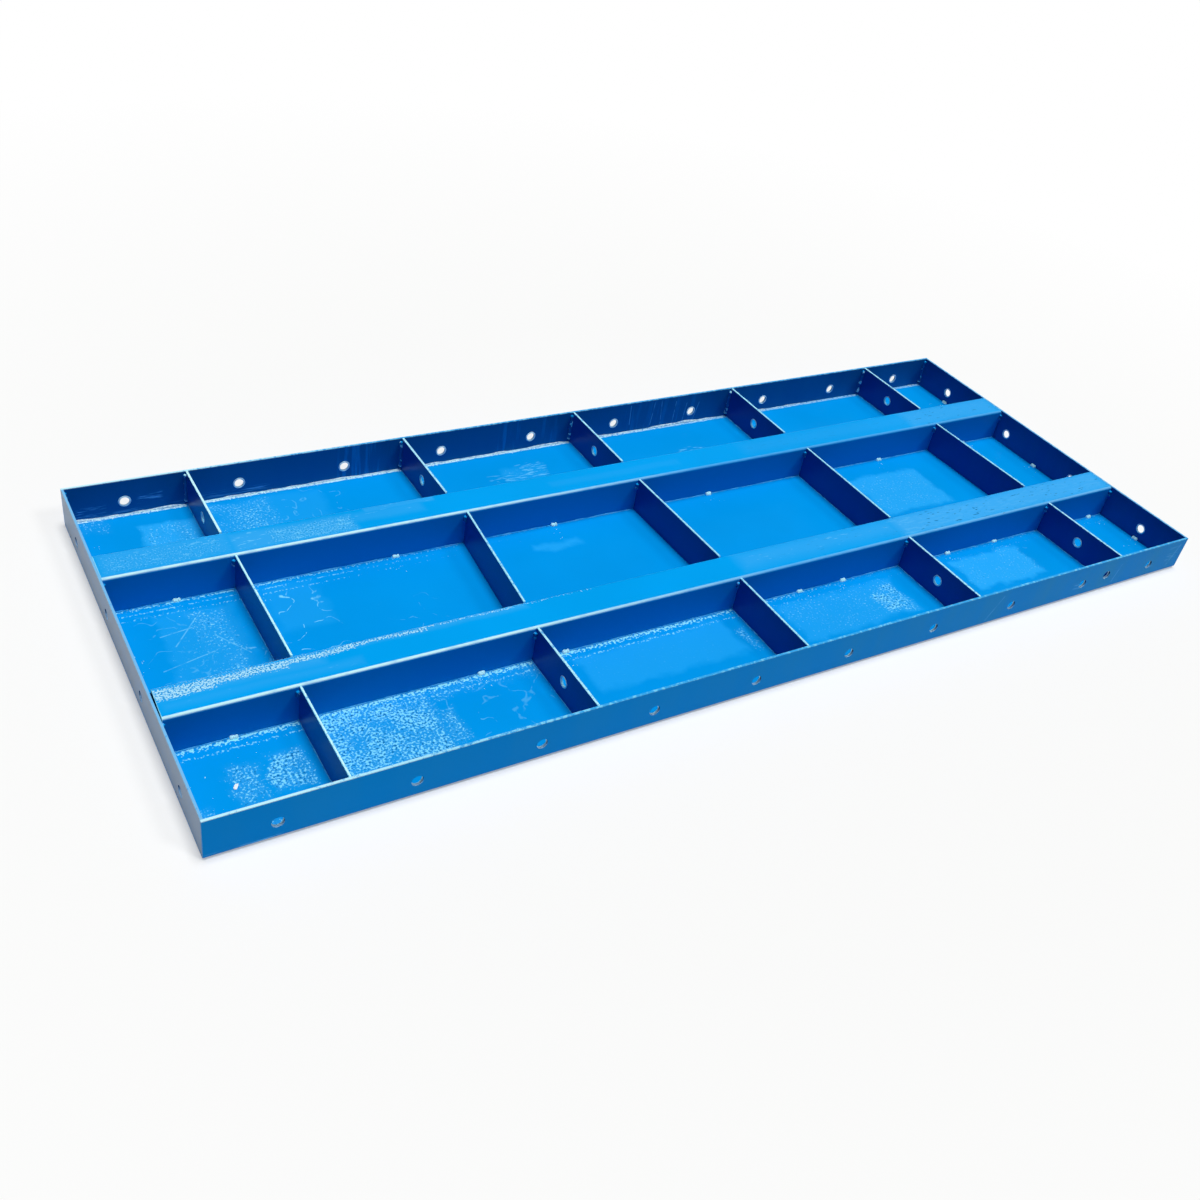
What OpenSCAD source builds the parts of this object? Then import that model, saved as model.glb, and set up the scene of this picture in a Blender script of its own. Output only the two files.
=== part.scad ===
// Steel formwork panel for casting concrete, lying face down with its ribs up.
// A folded face sheet is closed by two end plates and stiffened by two folded long ribs
// and fifteen flat cross ribs, all held by short welds.
// X runs along the panel, Y across it from the near side to the far side, and Z up.
// The origin is the middle of the flat casting face, which is the underside here.

/* [Panel] */
// Length of the panel
panel_len = 1500; // [1350:10:1800]
// Width of the panel
panel_w = 600; // [560:10:700]
// Depth of the panel, from the casting face to the tops of the ribs
panel_h = 55; // [50:1:90]

/* [Face sheet and end plates] */
// Thickness of the face sheet and of the side flanges folded up from it
sheet_t = 3; // [2:0.25:4]
// Radius inside each fold of the face sheet
fold_r = 2; // [1:0.5:4]
// Thickness of an end plate
end_t = 3; // [2:0.25:5]
// How far a cut corner clears the fold beside it
corner_gap = 0.5; // [0.25:0.25:2]

/* [Pin holes] */
// Diameter of the pin holes in the side flanges and the end plates
hole_d = 13.8; // [10:0.1:18]
// Distance between neighbouring pin holes
hole_pitch = 150; // [130:5:165]
// Height of the pin holes above the casting face
hole_z = 23; // [18:0.5:30]
// Least distance from the end of a row of pin holes to the corner of the panel
hole_edge = 40; // [30:5:60]
// Distance of the odd extra hole in the near flange from the fifth cross ribs
extra_hole_from_rib = 24; // [16:1:50]
// Height of the odd extra hole above the casting face
extra_hole_z = 27; // [18:0.5:30]

/* [Long ribs] */
// Clear distance between the two long ribs
long_rib_gap = 200; // [180:5:220]
// Width of a long rib
long_rib_w = 50; // [40:1:60]
// Thickness of the sheet of a long rib
long_rib_t = 2.5; // [1.5:0.25:4]
// Radius inside each fold of a long rib
long_rib_r = 2; // [1:0.5:5]
// Gap at the left end of the near long rib, on its near side
end_slot_near = 1; // [0.5:0.25:3]
// Gap at the left end of the near long rib, on its far side
end_slot_far = 2.5; // [0.5:0.25:3]

/* [Cross ribs] */
// Thickness of a cross rib
cross_rib_t = 3; // [2:0.25:5]
// Diameter of the tie hole in the middle of a cross rib
tie_hole_d = 13.8; // [8:0.1:20]
// How far each cross rib of the near row was welded off its mark, to the right
near_shift = [1, -5, 0, 2, -3];
// How far each cross rib of the middle row was welded off its mark, to the right
middle_shift = [9, 12, -2, 9, -8];
// How far each cross rib of the far row was welded off its mark, to the right
far_shift = [6, 13, -3, 2, -3];
// How far the near end of each middle cross rib stands to the right of its far end
middle_skew = [0, -18, 5, 0, 5];
// Which cross ribs of the near row have a tie hole
near_tie_holes = [false, true, false, true, true];

/* [Welds] */
// Leg of a weld bead
bead_leg = 4; // [2:0.25:5]
// How far the rounded face of a bead bulges, as a share of its leg
bead_bulge = 0.6; // [0.5:0.05:0.8]
// Length of a tack weld
tack_len = 11; // [6:1:25]
// Height at which the upright welds start
upright_weld_z = 9; // [8:1:20]
// Distance from the rib tops down to the upper end of the upright welds
upright_weld_drop = 6; // [5:1:15]
// Tacks along the near long rib's near foot, as shares of each bay from the left
near_rib_tack_shares = [[0.5], [0.76], [0.15], [0.38, 0.64], [0.33, 0.67], [0.8]];
// Tacks along the far long rib's near foot, as shares of each bay from the left
far_rib_tack_shares = [[0.53], [0.72], [0.53], [0.42], [0.59], [0.5]];

/* [Hidden] */

$fn = 48;
over = 1;                                   // how far a cutting shape runs past what it cuts
blue = [0.02, 0.40, 0.78];
weld_blue = [0.10, 0.50, 0.85];

ribs_per_row = 5;
rib_pitch = 2 * hole_pitch;                 // each cross rib stands midway between two pin holes
rib_h = panel_h - sheet_t;                  // every rib stands on the face sheet
inner_x = panel_len / 2 - end_t;            // inside of an end plate
inner_y = panel_w / 2 - sheet_t;            // inside of a side flange
long_rib_inner = long_rib_gap / 2;          // side of a long rib towards the panel's middle
long_rib_outer = long_rib_inner + long_rib_w;
outer_bay = inner_y - long_rib_outer;       // length of a near or far cross rib
corner_cut = fold_r + corner_gap;           // corner taken off a plate beside a fold
upright_weld_top = panel_h - upright_weld_drop;
upright_tack_z = upright_weld_top - tack_len;

// Rows of cross ribs: [Y of the near end, length, shifts, skews]
no_skew = [for (i = [1 : ribs_per_row]) 0];
near_row = [-inner_y, outer_bay, near_shift, no_skew];
middle_row = [-long_rib_inner, long_rib_gap, middle_shift, -middle_skew];
far_row = [long_rib_outer, outer_bay, far_shift, no_skew];

// X of the near end of cross rib i of a row, counted from 0 at the left
function rib_x(row, i) =
    (i - (ribs_per_row - 1) / 2) * rib_pitch + row[2][i] - row[3][i] / 2;

// Direction of cross rib i of a row, from its near end to its far end
function rib_way(row, i) = [row[3][i], row[1]] / norm([row[3][i], row[1]]);

// X of the left side of bay k of a row, and of the point at a share of that bay
function bay_side(row, k) =
    k == 0 ? -inner_x : k > ribs_per_row ? inner_x : rib_x(row, k - 1);
function bay_x(row, bay, share) =
    bay_side(row, bay) * (1 - share) + bay_side(row, bay + 1) * share;

// Places of the pin holes along a side of the given length, the same both ways from its middle
function hole_places(side) =
    let (half = floor((side / 2 - hole_edge) / hole_pitch + 0.5))
    [for (i = [0 : 2 * half - 1]) (i - half + 0.5) * hole_pitch];

// Outline of a sheet folded to a U that opens upwards, w wide over its flanges and h high
module folded_u(w, h, t, r) {
    difference() {
        rounded_foot(w, h, r + t);
        translate([0, t]) rounded_foot(w - 2 * t, h, r);
    }
}

// Outline w wide and h high with its two lower corners rounded
module rounded_foot(w, h, r) {
    union() {
        translate([-w / 2, r]) square([w, h - r]);
        translate([-w / 2 + r, 0]) square([w - 2 * r, h]);
        for (side = [-1, 1]) translate([side * (w / 2 - r), r]) circle(r);
    }
}

// Turns an outline drawn in Y and Z to run along X, centred on the panel's middle
module along_x(length) {
    translate([-length / 2, 0, 0]) rotate([90, 0, 90]) linear_extrude(length) children();
}

// The face sheet and both side flanges, one folded sheet with its punched holes
module face_pan() {
    color(blue) difference() {
        along_x(panel_len) folded_u(panel_w, panel_h, sheet_t, fold_r);
        for (side = [-1, 1], x = hole_places(panel_len)) flange_hole(side, x, hole_z);
        flange_hole(-1, rib_pitch * (ribs_per_row - 1) / 2 - extra_hole_from_rib, extra_hole_z);
    }
}

// A hole through the near flange (side -1) or the far flange (side 1)
module flange_hole(side, x, z) {
    translate([x, side * (inner_y + sheet_t / 2), z])
        rotate([90, 0, 0])
            cylinder(d = hole_d, h = sheet_t + 2 * over, center = true);
}

// A flat end plate with its inner face at X = 0, its corners cut clear of the folds
module end_plate() {
    color(blue) difference() {
        rotate([90, 0, 90]) linear_extrude(end_t) polygon([
            [-inner_y + corner_cut, sheet_t], [inner_y - corner_cut, sheet_t],
            [inner_y, sheet_t + corner_cut], [inner_y, panel_h],
            [-inner_y, panel_h], [-inner_y, sheet_t + corner_cut]]);
        for (y = hole_places(panel_w))
            translate([-over, y, hole_z]) rotate([0, 90, 0]) cylinder(d = hole_d, h = end_t + 2 * over);
    }
}

// A long rib, its inner side at long_rib_inner: a folded U turned over onto the face sheet
module long_rib() {
    translate([0, long_rib_inner + long_rib_w / 2, panel_h])
        rotate([180, 0, 0])
            along_x(2 * inner_x) folded_u(long_rib_w, rib_h, long_rib_t, long_rib_r);
}

module far_long_rib() {
    color(blue) long_rib();
}

// The near long rib stops short of the left end plate, by more on its far side
module near_long_rib() {
    color(blue) difference() {
        mirror([0, 1, 0]) long_rib();
        translate([-inner_x, 0, sheet_t - over]) linear_extrude(rib_h + 2 * over) polygon([
            [-over, -long_rib_outer - over], [end_slot_near, -long_rib_outer - over],
            [end_slot_near, -long_rib_outer], [end_slot_far, -long_rib_inner],
            [end_slot_far, -long_rib_inner + over], [-over, -long_rib_inner + over]]);
    }
}

// Cross rib i of a row: a flat bar with square-cut ends that lie on its neighbours.
// cut_side is -1 or 1 where the near or the far end has its foot cut clear of a fold.
module cross_rib(row, i, cut_side = 0, tie_hole = false) {
    length = row[1];
    skew = row[3][i];
    half = cross_rib_t / 2;
    color(blue) translate([rib_x(row, i), row[0], sheet_t]) difference() {
        linear_extrude(rib_h) polygon([
            [-half, 0], [half, 0], [half + skew, length], [-half + skew, length]]);
        if (cut_side != 0)
            translate([0, cut_side < 0 ? 0 : length, 0])
                rotate([90, 0, 90])
                    linear_extrude(cross_rib_t + 2 * over, center = true)
                        polygon([[-corner_cut, 0], [0, corner_cut], [corner_cut, 0], [0, -corner_cut]]);
        if (tie_hole)
            translate([skew / 2, length / 2, rib_h / 2])
                rotate([0, 90, 0])
                    cylinder(d = tie_hole_d, h = cross_rib_t + 2 * over, center = true);
    }
}

module near_cross_rib(i) {
    cross_rib(near_row, i, cut_side = -1, tie_hole = near_tie_holes[i]);
}

module middle_cross_rib(i) {
    cross_rib(middle_row, i);
}

module far_cross_rib(i) {
    cross_rib(far_row, i, cut_side = 1, tie_hole = true);
}

// A bead of weld in an upright corner, its legs along the plan directions a and b
module upright_bead(at, a, b, z, length) {
    translate([at[0], at[1], z]) linear_extrude(length)
        polygon([[0, 0], bead_leg * a, bead_leg * bead_bulge * (a + b), bead_leg * b]);
}

// A tack on the face sheet, centred at a point of a plate's foot. The plate runs at the
// given angle from X and the tack lies on its right-hand side, seen along that direction.
module foot_tack(at, angle) {
    translate([at[0], at[1], sheet_t]) rotate([0, 0, angle])
        translate([-tack_len / 2, 0, 0]) rotate([90, 0, 90]) linear_extrude(tack_len)
            polygon([[0, 0], [-bead_leg, 0], [-bead_leg, bead_leg] * bead_bulge, [0, bead_leg]]);
}

// The welds of cross rib i of a row. near_full and far_full say which end has a weld of
// the full height, against a side flange, and not a tack near the top, on a long rib.
module cross_rib_welds(row, i, near_full, far_full) {
    way = rib_way(row, i);
    half = [cross_rib_t / 2, 0];
    near_end = [rib_x(row, i), row[0]];
    far_end = near_end + [row[3][i], row[1]];
    upright_corner_weld(near_end - half, [-1, 0], way, near_full);
    upright_corner_weld(far_end - half, [-1, 0], -way, far_full);
    for (share = [0.25, 0.75])
        foot_tack(near_end * (1 - share) + far_end * share + half, atan2(way[1], way[0]));
}

// An upright weld of the full height, or a tack near the top
module upright_corner_weld(at, a, b, full) {
    if (full) upright_bead(at, a, b, upright_weld_z, upright_weld_top - upright_weld_z);
    else upright_bead(at, a, b, upright_tack_z, tack_len);
}

module near_row_welds() {
    color(weld_blue) for (i = [0 : ribs_per_row - 1]) cross_rib_welds(near_row, i, true, false);
}

module middle_row_welds() {
    color(weld_blue) for (i = [0 : ribs_per_row - 1]) cross_rib_welds(middle_row, i, false, false);
}

module far_row_welds() {
    color(weld_blue) for (i = [0 : ribs_per_row - 1]) cross_rib_welds(far_row, i, false, true);
}

// Tacks along both feet of each long rib: by the shares on the near side of each, and in
// the middle of each bay on the far side
module long_rib_welds() {
    color(weld_blue) for (bay = [0 : ribs_per_row]) {
        for (share = near_rib_tack_shares[bay])
            foot_tack([bay_x(near_row, bay, share), -long_rib_outer], 0);
        for (share = far_rib_tack_shares[bay])
            foot_tack([bay_x(middle_row, bay, share), long_rib_inner], 0);
        foot_tack([bay_x(middle_row, bay, 0.5), -long_rib_inner], 180);
        foot_tack([bay_x(far_row, bay, 0.5), long_rib_outer], 180);
    }
}

// Welds inside each end plate: up the side flanges, near the tops of the long ribs and
// one on the face sheet in each row
module end_plate_welds() {
    color(weld_blue) for (side = [-1, 1]) {
        inward = [-side, 0];
        for (across = [-1, 1]) {
            upright_corner_weld([side * inner_x, across * inner_y], inward, [0, -across], true);
            upright_corner_weld([side * inner_x, across * long_rib_outer], inward, [0, across], false);
            upright_corner_weld([side * inner_x, across * long_rib_inner], inward, [0, -across], false);
        }
        for (row = [near_row, middle_row, far_row])
            foot_tack([side * inner_x, row[0] + row[1] / 2], side * -90);
    }
}

face_pan();
translate([-panel_len / 2, 0, 0]) end_plate();  // left_end_plate
translate([inner_x, 0, 0]) end_plate();  // right_end_plate
near_long_rib();
far_long_rib();
near_cross_rib(0);  // near_cross_rib_1
near_cross_rib(1);  // near_cross_rib_2
near_cross_rib(2);  // near_cross_rib_3
near_cross_rib(3);  // near_cross_rib_4
near_cross_rib(4);  // near_cross_rib_5
middle_cross_rib(0);  // middle_cross_rib_1
middle_cross_rib(1);  // middle_cross_rib_2
middle_cross_rib(2);  // middle_cross_rib_3
middle_cross_rib(3);  // middle_cross_rib_4
middle_cross_rib(4);  // middle_cross_rib_5
far_cross_rib(0);  // far_cross_rib_1
far_cross_rib(1);  // far_cross_rib_2
far_cross_rib(2);  // far_cross_rib_3
far_cross_rib(3);  // far_cross_rib_4
far_cross_rib(4);  // far_cross_rib_5
near_row_welds();
middle_row_welds();
far_row_welds();
long_rib_welds();
end_plate_welds();
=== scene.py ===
# %% [markdown]
# # A steel formwork panel, finished in blue enamel
# The panel is a welded steel tray that concrete is cast against. It lies face down here, with
# its ribs up. The plates come from the CAD frame, and this lesson gives them what a shop gives
# them after the cutting: broken edges, weld beads, spatter, sprayed paint, runs, dust and wear.
# Some of their colours also carry painted shade, painted highlights and painted reflections.
# The first cell loads the frame, and keeps the size of the CAD model for the last cell. It also
# seeds the noise that shapes the beads and drops, so that each run makes the same ones.

# %% Load the frame
import math
import bpy
from mathutils import Matrix, Vector, noise


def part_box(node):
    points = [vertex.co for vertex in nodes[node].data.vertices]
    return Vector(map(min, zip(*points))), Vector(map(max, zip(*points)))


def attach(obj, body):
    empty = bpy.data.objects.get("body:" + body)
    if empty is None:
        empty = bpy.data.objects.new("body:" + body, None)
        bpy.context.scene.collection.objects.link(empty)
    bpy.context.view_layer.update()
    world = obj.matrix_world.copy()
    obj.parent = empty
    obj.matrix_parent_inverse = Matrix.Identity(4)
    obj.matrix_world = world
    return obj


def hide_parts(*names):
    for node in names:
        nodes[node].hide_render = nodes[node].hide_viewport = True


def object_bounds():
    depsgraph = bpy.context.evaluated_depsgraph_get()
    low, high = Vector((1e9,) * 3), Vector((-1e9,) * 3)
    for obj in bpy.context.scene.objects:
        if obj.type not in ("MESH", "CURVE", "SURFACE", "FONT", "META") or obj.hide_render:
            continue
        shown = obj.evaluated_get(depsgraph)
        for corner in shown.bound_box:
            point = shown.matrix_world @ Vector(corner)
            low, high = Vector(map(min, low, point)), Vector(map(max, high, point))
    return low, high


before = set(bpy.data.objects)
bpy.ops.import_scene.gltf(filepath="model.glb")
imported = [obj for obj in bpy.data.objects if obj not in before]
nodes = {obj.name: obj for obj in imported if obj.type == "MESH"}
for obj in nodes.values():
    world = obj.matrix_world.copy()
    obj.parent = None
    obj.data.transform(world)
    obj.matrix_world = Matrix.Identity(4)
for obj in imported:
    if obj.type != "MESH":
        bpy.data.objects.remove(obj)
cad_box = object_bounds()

NOISE_SEED = 4
noise.seed_set(NOISE_SEED)
scene = bpy.context.scene
low, high = cad_box
print("CAD nodes:", len(nodes))
print("Panel, in metres:", [round(side, 4) for side in high - low])

# %% [markdown]
# ## The camera
# The camera stands at the left near corner, about a metre above the floor, and looks down the
# length of the panel. A camera looks along its own -Z axis, so it is turned towards its aim
# first, and then rolled a little about that axis, the way a hand-held one is.

# %% Camera
CAMERA_AT = Vector((-0.9513, -1.1190, 0.9857))
CAMERA_AIM = Vector((-0.1854, -0.1023, 0.0300))
CAMERA_ROLL = math.radians(10.92)
CAMERA_LENS = 37.27

camera = bpy.data.objects.new("camera", bpy.data.cameras.new("camera"))
scene.collection.objects.link(camera)
turn = (CAMERA_AIM - CAMERA_AT).to_track_quat("-Z", "Y").to_matrix()
roll = Matrix.Rotation(CAMERA_ROLL, 3, "Z")
camera.matrix_world = Matrix.Translation(CAMERA_AT) @ (turn @ roll).to_4x4()
camera.data.lens = CAMERA_LENS
camera.data.clip_start = 0.05
camera.data.clip_end = 60.0
scene.camera = camera
scene.view_settings.view_transform = "Standard"
print("Camera stands", round((CAMERA_AIM - CAMERA_AT).length, 3), "m from its aim")

# %% [markdown]
# ## A small kit for mixing finishes
# A finish is a tree of shader nodes. Written out one by one, nodes hide what the finish is, so
# this class adds a node per call and hands back its output, which goes straight into the next
# call. Everything is placed on Object coordinates, in metres, so one noise size means the same
# grain on every piece.

# %% The finish kit
class Finish:
    """One material being mixed. Each call adds a node and returns its output socket."""

    def __init__(self, name):
        self.material = bpy.data.materials.new(name)
        self.material.use_nodes = True
        self.tree = self.material.node_tree
        self.tree.nodes.clear()
        self.here = self.node("ShaderNodeTexCoord", out="Object")

    def node(self, kind, *values, out=0, **settings):
        """Adds a node. Values fill its inputs in order, and None leaves one alone."""
        made = self.tree.nodes.new(kind)
        for key, value in settings.items():
            setattr(made, key, value)
        for number, value in enumerate(values):
            self.plug(made.inputs[number], value)
        return made.outputs[out] if made.outputs else made

    def plug(self, socket, value):
        """Links a socket to another one's output, or sets its number or colour."""
        if isinstance(value, bpy.types.NodeSocket):
            self.tree.links.new(value, socket)
        elif value is not None:
            socket.default_value = value

    def math(self, operation, a, b=0.0):
        """A sum, a product or another operation on numbers."""
        return self.node("ShaderNodeMath", a, b, operation=operation)

    def vector(self, operation, a, b=(0.0, 0.0, 0.0)):
        """The same for places and directions."""
        return self.node("ShaderNodeVectorMath", a, b, operation=operation)

    def ramp(self, value, start, end, low=0.0, high=1.0):
        """Low where value is start, high where it is end, and an even slope between."""
        return self.node("ShaderNodeMapRange", value, start, end, low, high)

    def noise(self, size, detail=2.0, roughness=0.5, stretch=(1.0, 1.0, 1.0), where=None):
        """Cloudy noise from 0 to 1 whose blotches are about size metres across."""
        scale = [1.0 / (size * side) for side in stretch]
        spot = self.vector("MULTIPLY", where or self.here, scale)
        made = self.tree.nodes.new("ShaderNodeTexNoise")
        self.plug(made.inputs["Vector"], spot)
        self.plug(made.inputs["Scale"], 1.0)
        self.plug(made.inputs["Detail"], detail)
        self.plug(made.inputs["Roughness"], roughness)
        return made.outputs[0]

    def mix(self, share, a, b):
        """Colour a where share is 0 and colour b where it is 1."""
        made = self.tree.nodes.new("ShaderNodeMix")
        made.data_type = "RGBA"
        self.plug(made.inputs[0], share)
        self.plug(made.inputs[6], a)
        self.plug(made.inputs[7], b)
        return made.outputs[2]

    def coordinates(self, where=None):
        """The X, Y and Z of a place."""
        made = self.tree.nodes.new("ShaderNodeSeparateXYZ")
        self.plug(made.inputs[0], where or self.here)
        return made.outputs

    def facing(self):
        """The X, Y and Z of the direction that the surface faces."""
        return self.coordinates(self.node("ShaderNodeNewGeometry", out="Normal"))

    def bump(self, height, depth, under=None):
        """A normal roughened by a height from 0 to 1 that stands for depth metres."""
        made = self.tree.nodes.new("ShaderNodeBump")
        self.plug(made.inputs["Height"], height)
        self.plug(made.inputs["Strength"], 1.0)
        self.plug(made.inputs["Distance"], depth)
        self.plug(made.inputs["Normal"], under)
        return made.outputs[0]

    def close(self, colour, roughness, normal, specular=0.5, tint=(1.0, 1.0, 1.0, 1.0)):
        """Ends the tree in a shader, and returns the material."""
        shader = self.tree.nodes.new("ShaderNodeBsdfPrincipled")
        self.plug(shader.inputs["Base Color"], colour)
        self.plug(shader.inputs["Roughness"], roughness)
        self.plug(shader.inputs["Normal"], normal)
        shader.inputs["Specular IOR Level"].default_value = specular
        shader.inputs["Specular Tint"].default_value = tint
        self.node("ShaderNodeOutputMaterial", shader.outputs[0])
        print(self.material.name, "is mixed from", len(self.tree.nodes), "nodes")
        return self.material

# %% [markdown]
# ## Floor
# The floor is plain and pale. It is a real, matt surface, so it keeps the panel's shadow and
# throws light back up at its sides. Away from the panel it fades into the white that the world
# shows to the camera and to reflections. An emission that only such rays see does this, so the
# fading adds no light to the panel.

# %% Floor
FLOOR_REACH = 9.0
FLOOR_DROP = 0.0004
FADE_STARTS = 0.7
FADE_ENDS = 2.0

bpy.ops.object.select_all(action="DESELECT")
bpy.ops.mesh.primitive_circle_add(vertices=64, radius=FLOOR_REACH, fill_type="NGON",
                                  location=(0, 0, -FLOOR_DROP))
floor = bpy.context.object
floor.name = "studio_floor"
pale = Finish("pale_floor")
seen = pale.tree.nodes.new("ShaderNodeLightPath")
shown = pale.math("MAXIMUM", seen.outputs["Is Camera Ray"], seen.outputs["Is Glossy Ray"])
shown = pale.math("MAXIMUM", shown, seen.outputs["Is Transmission Ray"])
distance = pale.node("ShaderNodeVectorMath", pale.here, operation="LENGTH", out="Value")
fade = pale.ramp(distance, FADE_STARTS, FADE_ENDS, 0.25, 1.0)
fade = pale.math("MULTIPLY", fade, shown)
matt = pale.node("ShaderNodeBsdfDiffuse", (0.90, 0.90, 0.89, 1.0))
white = pale.node("ShaderNodeEmission", (1.0, 1.0, 1.0, 1.0), 1.0)
surface = pale.node("ShaderNodeMixShader", fade, matt, white)
pale.node("ShaderNodeOutputMaterial", surface)
floor.data.materials.append(pale.material)
print("Floor radius:", FLOOR_REACH, "m")

# %% [markdown]
# ## World
# The world is plain white to the camera, to reflections and through glass, and a dim sky blue
# to all other rays. So the background is white, and yet the panel keeps its shade.

# %% World
SKY_COLOUR = (0.75, 0.87, 1.0, 1.0)
SKY_STRENGTH = 0.03
WHITE = (1.0, 1.0, 1.0, 1.0)

world = bpy.data.worlds.new("studio")
scene.world = world
world.use_nodes = True
tree = world.node_tree
tree.nodes.clear()
rays = tree.nodes.new("ShaderNodeLightPath")
either = tree.nodes.new("ShaderNodeMath")
either.operation = "MAXIMUM"
tree.links.new(rays.outputs["Is Camera Ray"], either.inputs[0])
tree.links.new(rays.outputs["Is Glossy Ray"], either.inputs[1])
any_of = tree.nodes.new("ShaderNodeMath")
any_of.operation = "MAXIMUM"
tree.links.new(either.outputs[0], any_of.inputs[0])
tree.links.new(rays.outputs["Is Transmission Ray"], any_of.inputs[1])
both = tree.nodes.new("ShaderNodeMixShader")
tree.links.new(any_of.outputs[0], both.inputs[0])
for place, colour, strength in ((1, SKY_COLOUR, SKY_STRENGTH), (2, WHITE, 1.0)):
    sky = tree.nodes.new("ShaderNodeBackground")
    sky.inputs["Color"].default_value = colour
    sky.inputs["Strength"].default_value = strength
    tree.links.new(sky.outputs[0], both.inputs[place])
tree.links.new(both.outputs[0], tree.nodes.new("ShaderNodeOutputWorld").inputs[0])
print("World nodes:", len(tree.nodes))

# %% [markdown]
# ## Light
# A broad soft light hangs almost straight overhead, so the floors of the cells are evenly lit
# and the upright sides lie in shade. A weaker light from the right front lifts the near sides
# of the webs. Both are suns with a wide angle, which light the whole panel alike.

# %% Lights
def soft_sun(name, direction, strength, angle):
    """A sun that shines from the given direction, spread over an angle in degrees."""
    lamp = bpy.data.objects.new(name, bpy.data.lights.new(name, "SUN"))
    scene.collection.objects.link(lamp)
    lamp.data.energy = strength
    lamp.data.angle = math.radians(angle)
    lamp.rotation_mode = "QUATERNION"
    lamp.rotation_quaternion = Vector(direction).to_track_quat("Z", "Y")
    print(name, "strength", strength, "angle", angle)
    return lamp

soft_sun("overhead_light", (0.05, -0.03, 1.0), strength=2.84, angle=24)
soft_sun("front_light", (0.40, -0.56, 0.74), strength=0.52, angle=12)

# %% [markdown]
# ## Paint
# The panel is sprayed with one blue enamel. What makes it real is what differs from place to
# place: cloudy patches of thicker paint, a fine orange peel, a dry mist of overspray on the
# floors, and pale edges, rubbed off by stacked panels in part and painted highlights in part.
# Upright faces get darker colours, which are painted shade. The first colours are the enamel
# itself, where it lies flat, on the floors, on the long ribs, and then the painted shade of faces
# that are more and more in shade. The others are what lies on the enamel or shows through it.

# %% Colours and the base coat
ENAMEL = (0.0003, 0.320, 0.785, 1.0)
FLOOR_ENAMEL = (0.0003, 0.300, 0.780, 1.0)
RIB_ENAMEL = (0.0003, 0.350, 0.860, 1.0)
# The next three colours are painted shade, for upright faces that are more and more in shade.
ENAMEL_UPRIGHT_SHADE = (0.0003, 0.220, 0.635, 1.0)
ENAMEL_SHADED = (0.0003, 0.112, 0.355, 1.0)
CROSS_RIB_SHADE = (0.0003, 0.058, 0.335, 1.0)
MIST = (0.10, 0.46, 0.90, 1.0)
HAZE = (0.020, 0.400, 0.910, 1.0)
DUST_AND_REFLECTION = (0.024, 0.255, 0.490, 1.0)
WORN_AND_HIGHLIGHT = (0.30, 0.84, 1.0, 1.0)
POWDER = (0.22, 0.72, 1.0, 1.0)
BRIGHT = (0.62, 0.95, 1.0, 1.0)
PIT = (0.003, 0.130, 0.345, 1.0)
CHALK = (0.46, 0.80, 0.95, 1.0)
SOOT = (0.030, 0.140, 0.260, 1.0)
GRIME = (0.165, 0.245, 0.330, 1.0)
TINT = (0.10, 0.50, 1.0, 1.0)

def base_coat(finish, shade_colour=ENAMEL_UPRIGHT_SHADE, full=ENAMEL):
    """The clean enamel, with painted shade on upright faces: its colour, and the height of its
    orange peel from 0 to 1.
    """
    clouds = finish.noise(0.16, 3.0)
    thin = [0.94 * part for part in full[:3]] + [1.0]
    colour = finish.mix(finish.ramp(clouds, 0.35, 0.65), thin, full)
    level = finish.math("ABSOLUTE", finish.facing()[2])
    # Upright faces are mixed towards a colour of painted shade.
    colour = finish.mix(finish.ramp(level, 0.75, 0.35), colour, shade_colour)
    return colour, finish.noise(0.0028, 2.0, 0.45)

# %% [markdown]
# ## Marks
# Wear and dirt lie in some places and not in others, so each mark needs a mask: a number from 0
# to 1 all over the piece. Painting one by hand would need an image. Instead a mask is built
# from soft rectangles and lines at known places, in millimetres of the panel's own frame, and
# noise makes them ragged or breaks them up.

# %% Marks
def most(finish, masks):
    """The strongest of several masks."""
    strongest = masks[0]
    for mask in masks[1:]:
        strongest = finish.math("MAXIMUM", strongest, mask)
    return strongest

def patch(finish, where, span_x, span_y, edge, strength):
    """A soft-edged rectangle, in millimetres: strength inside and 0 outside."""
    centre = ((span_x[0] + span_x[1]) / 2000.0, (span_y[0] + span_y[1]) / 2000.0, 0.0)
    half = ((span_x[1] - span_x[0]) / 2000.0, (span_y[1] - span_y[0]) / 2000.0, 0.0)
    away = finish.vector("SUBTRACT", where, centre)
    away = finish.vector("ABSOLUTE", away)
    away = finish.vector("SUBTRACT", away, half)
    parts = finish.coordinates(away)
    outside = finish.math("MAXIMUM", parts[0], parts[1])
    return finish.ramp(outside, edge / 1000.0, -edge / 1000.0, 0.0, strength)

def patches_of(finish, where, list_of_patches):
    """The strongest of several patches at each place."""
    return most(finish, [patch(finish, where, *one) for one in list_of_patches])

def strokes(finish, where, lines, width):
    """Straight scratches, from one point to another in millimetres: 1 on a scratch."""
    masks = []
    for start, end in lines:
        first = Vector((start[0], start[1], 0.0)) / 1000.0
        way = Vector((end[0], end[1], 0.0)) / 1000.0 - first
        away = finish.vector("SUBTRACT", where, first)
        share = finish.node("ShaderNodeVectorMath", away, way / way.length_squared,
                            operation="DOT_PRODUCT", out="Value")
        share = finish.node("ShaderNodeClamp", share, 0.0, 1.0)
        off = finish.vector("SUBTRACT", away, finish.vector("MULTIPLY", way, share))
        gap = finish.node("ShaderNodeVectorMath", off, operation="LENGTH", out="Value")
        masks.append(finish.ramp(gap, width, 0.3 * width))
    broken = finish.ramp(finish.noise(0.010, 3.0), 0.35, 0.50, 0.15, 1.0)
    return finish.math("MULTIPLY", most(finish, masks), broken)

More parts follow.
